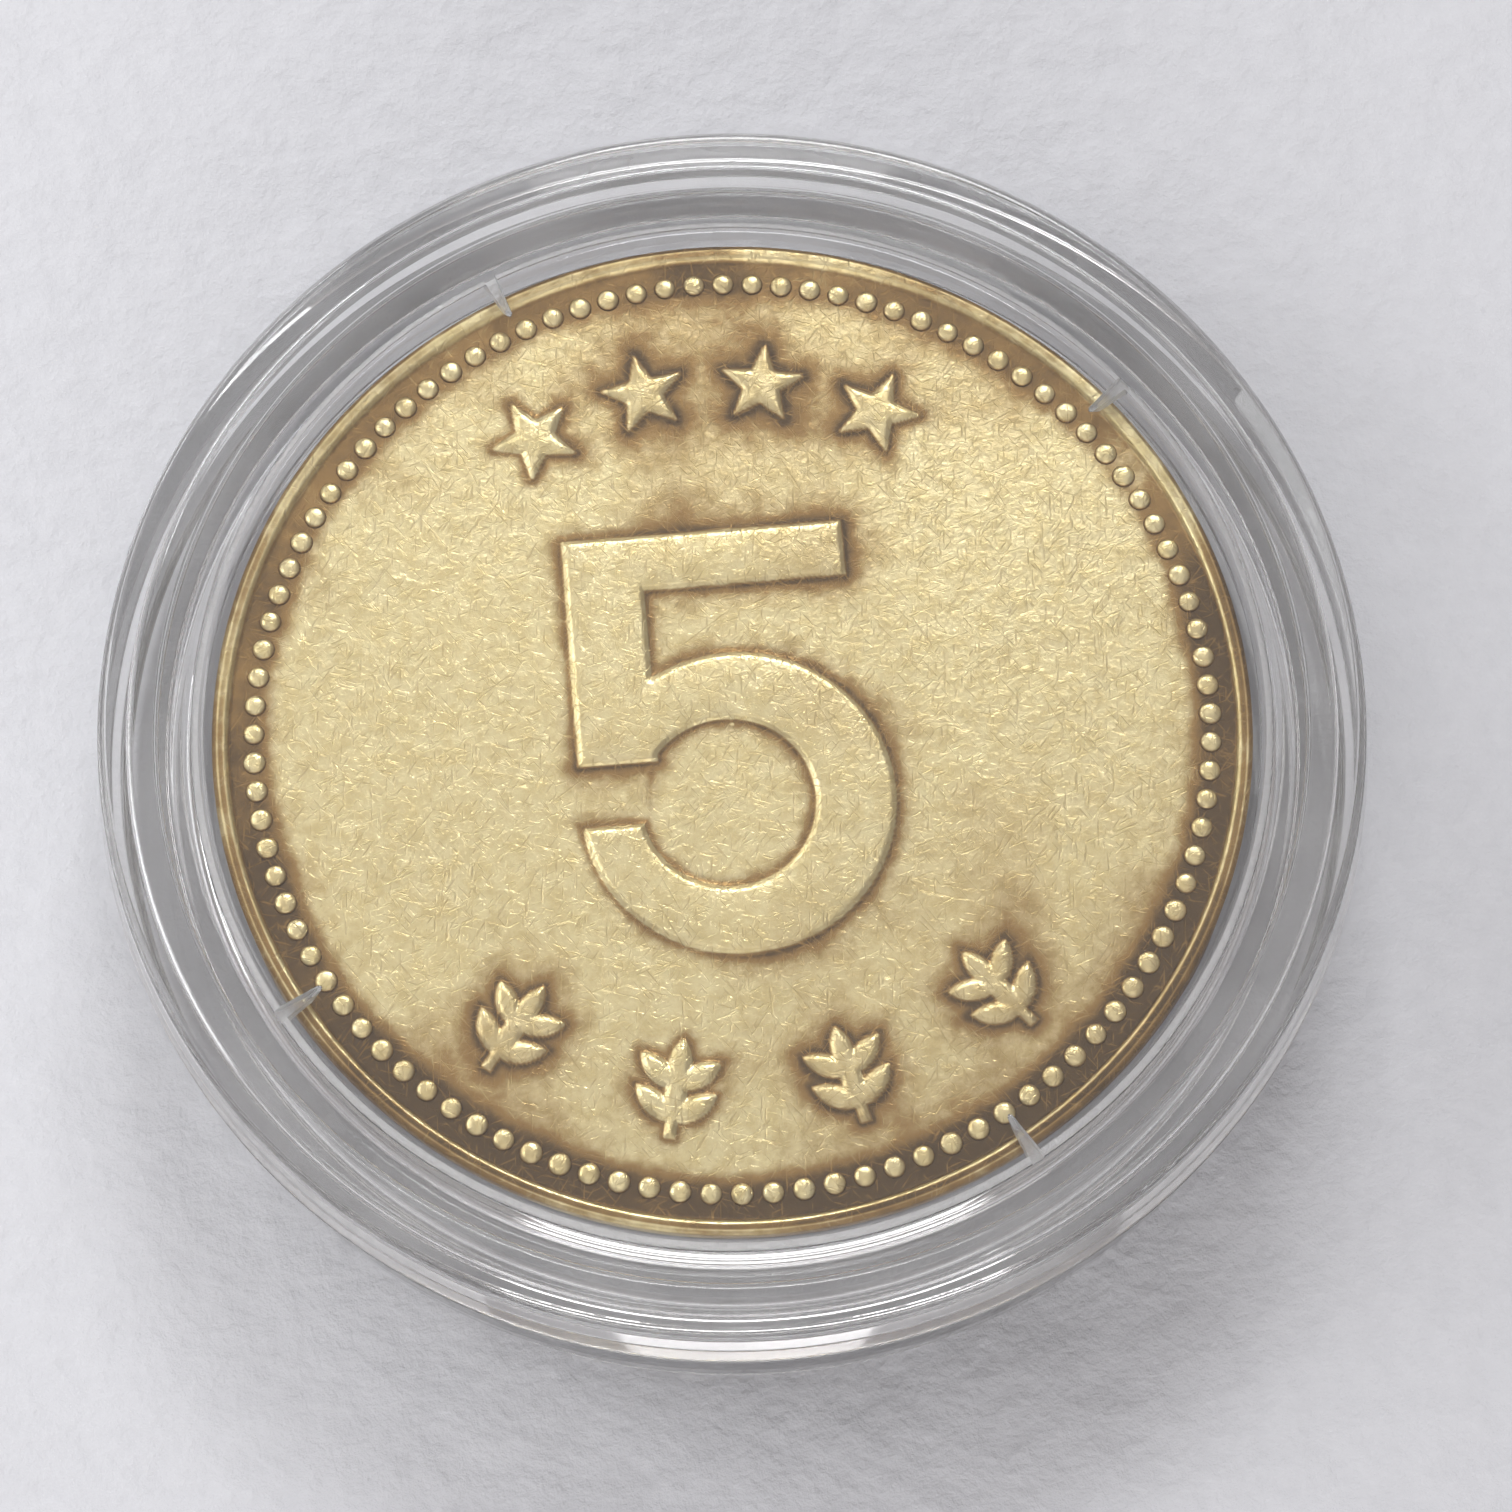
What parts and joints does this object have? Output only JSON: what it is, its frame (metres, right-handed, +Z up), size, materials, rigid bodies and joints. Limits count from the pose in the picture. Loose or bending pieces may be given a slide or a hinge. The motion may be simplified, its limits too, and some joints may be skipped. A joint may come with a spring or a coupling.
{
  "type": "coin capsule",
  "caption": "Round clear two-part hard capsule, pushed together, holding one struck brass coin face up under a flat window.",
  "frame": {"origin": "centre of the underside of the base's foot ring, where the capsule stands", "axes": "+Z up through the capsule's axis, +Y towards the top of the coin's design"},
  "size_m": [0.025, 0.025, 0.0052],
  "materials": {
    "clear_base": "clear, polished, lightly scuffed",
    "clear_lid": "clear, polished, lightly scuffed",
    "aged_brass": "worn, with a dark patina in the recesses"
  },
  "bodies": {
    "base": {"capsule_base": "clear_base"},
    "lid": {"capsule_lid": "clear_lid"},
    "coin": {"coin": "aged_brass"}
  },
  "joints": [
    {"name": "lid_lift", "type": "slide", "parent": "base", "child": "lid", "axis": [0, 0, 1], "range_m": [0, 0.012]},
    {"name": "coin_lift", "type": "slide", "parent": "base", "child": "coin", "axis": [0, 0, 1], "range_m": [0, 0.0048]}
  ],
  "couplings": [
    {"joint": "coin_lift", "follows": "lid_lift", "ratio": 0.4}
  ]
}
